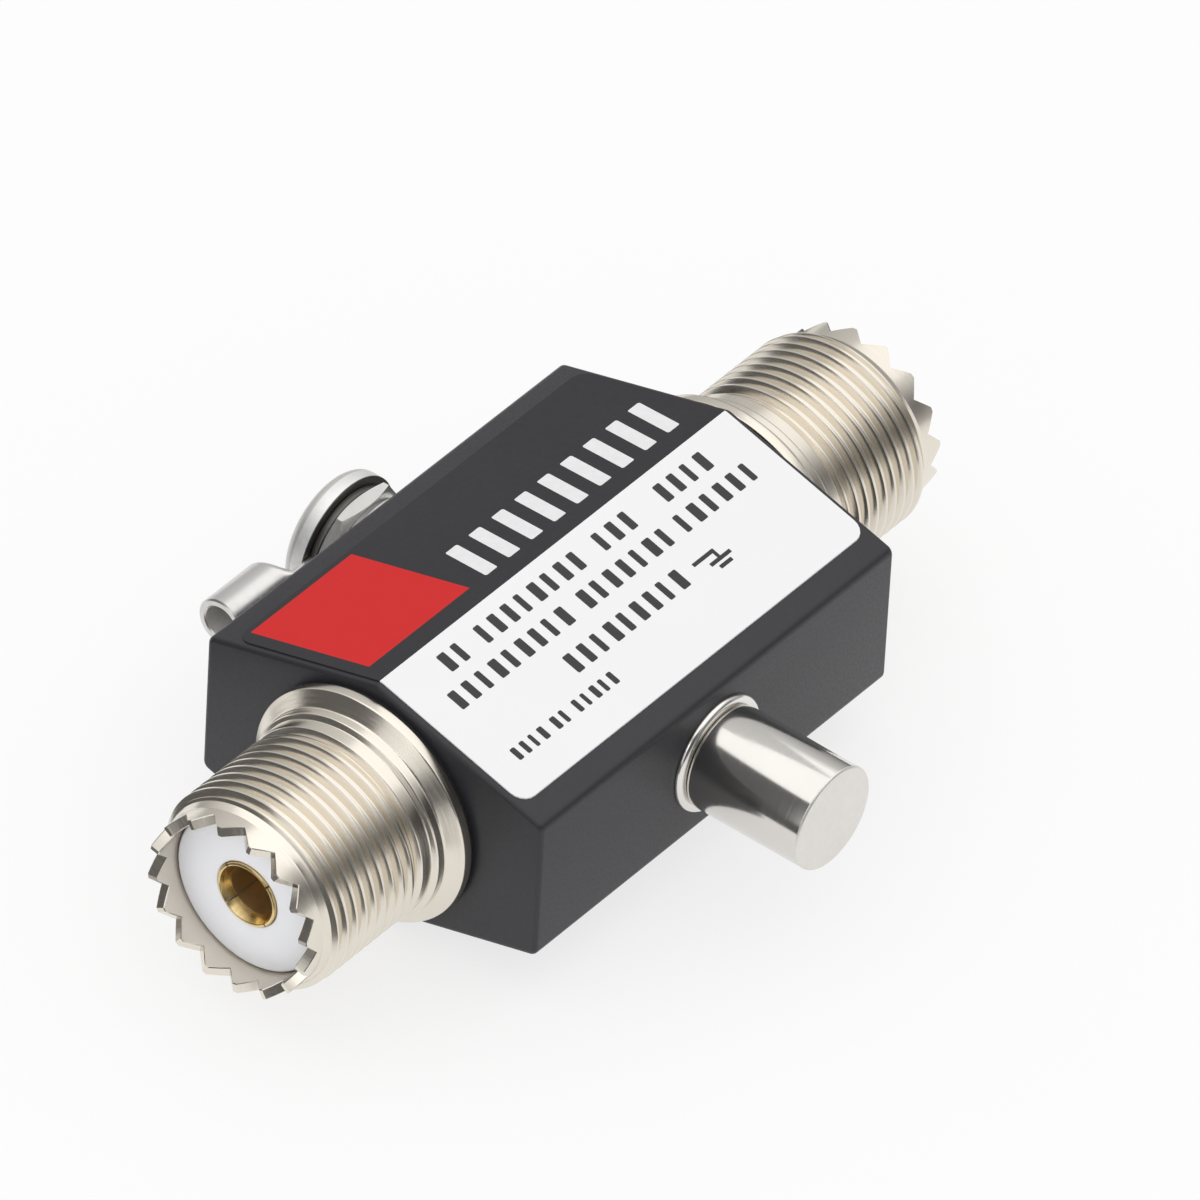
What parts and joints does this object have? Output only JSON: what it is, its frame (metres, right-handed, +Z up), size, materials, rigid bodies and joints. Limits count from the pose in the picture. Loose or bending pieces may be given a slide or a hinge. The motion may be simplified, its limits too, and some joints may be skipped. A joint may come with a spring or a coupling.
{
  "type": "coax lightning arrestor",
  "caption": "Inline coax surge arrestor: black ridged block with threaded ports on both ends, a screw-in gas tube cap and a ground screw with ring lug.",
  "frame": {"origin": "middle of the block, where the coax line's axis meets the gas tube's axis", "axes": "+X along the coax line from port A to port B, +Y towards the ground terminal, +Z up through the labelled ridge"},
  "size_m": [0.0706, 0.0469, 0.0207],
  "materials": {
    "black_paint": "satin black paint with a fine even grain",
    "label_vinyl": "satin printed vinyl in white, black and red fields",
    "gasket_rubber": "matt black rubber",
    "nickel_plate": "bright nickel plate on turned brass",
    "white_insulator": "satin white fluoropolymer",
    "gold_plate": "polished gold plate on brass",
    "ceramic": "white glazed ceramic",
    "spring_steel": "dull spring steel",
    "satin_nickel": "satin nickel plate on turned brass",
    "zinc_plate": "bright zinc plate on steel",
    "tin_plate": "tin plate on copper alloy sheet"
  },
  "bodies": {
    "housing": {"body": "black_paint", "label": "label_vinyl", "port_a_gasket": "gasket_rubber", "port_b_gasket": "gasket_rubber", "port_a_shell": "nickel_plate", "port_b_shell": "nickel_plate", "port_a_insulator": "white_insulator", "port_b_insulator": "white_insulator", "port_a_contact": "gold_plate", "port_b_contact": "gold_plate", "center_conductor": "gold_plate", "ground_flat_washer": "zinc_plate"},
    "tube_carrier": {"cap_washer": "zinc_plate", "contact_spring": "spring_steel", "gas_tube_inner_electrode": "nickel_plate", "gas_tube_ceramic": "ceramic", "gas_tube_outer_electrode": "nickel_plate"},
    "cap": {"gas_tube_cap": "satin_nickel"},
    "ground_carrier": {"ground_lock_washer": "spring_steel"},
    "screw": {"ground_screw": "zinc_plate", "ground_nut": "zinc_plate"},
    "lug": {"ground_lug": "tin_plate"}
  },
  "joints": [
    {"name": "cap_travel", "type": "slide", "parent": "housing", "child": "tube_carrier", "axis": [0, -1, 0], "range_m": [0, 0.006]},
    {"name": "cap_turn", "type": "hinge", "parent": "tube_carrier", "child": "cap", "pos_m": [0, -0.015, 0], "axis": [0, -1, 0], "range_deg": [0, 2880]},
    {"name": "ground_travel", "type": "slide", "parent": "housing", "child": "ground_carrier", "axis": [0, 1, 0], "range_m": [0, 0.004]},
    {"name": "ground_turn", "type": "hinge", "parent": "ground_carrier", "child": "screw", "pos_m": [0, 0.015, 0], "axis": [0, 1, 0], "range_deg": [0, 1800]},
    {"name": "lug_swivel", "type": "hinge", "parent": "ground_carrier", "child": "lug", "pos_m": [0, 0.015, 0], "axis": [0, 1, 0], "continuous": true}
  ],
  "couplings": [
    {"joint": "cap_turn", "follows": "cap_travel", "rad_per_m": 8377.6},
    {"joint": "ground_turn", "follows": "ground_travel", "rad_per_m": 7854}
  ]
}
